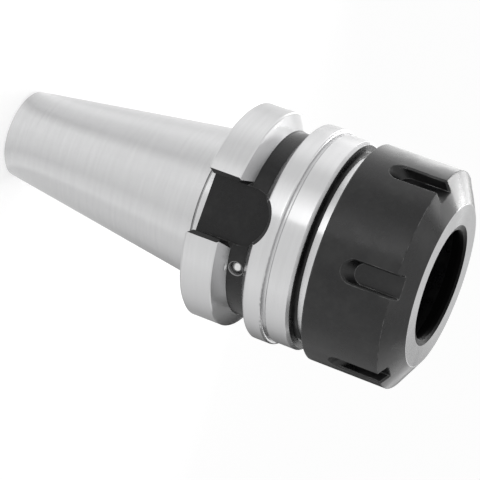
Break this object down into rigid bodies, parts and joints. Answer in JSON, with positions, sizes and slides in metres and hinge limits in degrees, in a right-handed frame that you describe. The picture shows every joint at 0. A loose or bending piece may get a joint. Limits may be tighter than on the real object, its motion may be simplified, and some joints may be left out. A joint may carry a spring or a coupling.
{
  "type": "collet chuck holder",
  "caption": "Machine-spindle collet chuck: steep 7/24 taper shank, grooved drive flange with key slots and a black slotted clamping nut on a threaded nose.",
  "frame": {"origin": "centre of the taper's small end face", "axes": "+Z along the axis from the taper's small end to the clamping nut; -Y and +Y through the two drive slots; +X completes the right-handed frame"},
  "size_m": [0.063, 0.063, 0.1314],
  "materials": {
    "ground_steel": "satin",
    "ball_steel": "polished",
    "screw_steel": "black oxide",
    "black_steel": "black oxide"
  },
  "bodies": {
    "holder": {"holder_body": "ground_steel", "cross_hole_ball_front": "ball_steel", "cross_hole_ball_back": "ball_steel", "seal_screw_front": "screw_steel", "seal_screw_back": "screw_steel"},
    "nut": {"clamping_nut": "black_steel"}
  },
  "joints": [
    {"name": "nut_turn", "type": "hinge", "parent": "holder", "child": "nut", "pos_m": [0, 0, 0.118], "axis": [0, 0, 1], "range_deg": [0, 2490]}
  ]
}
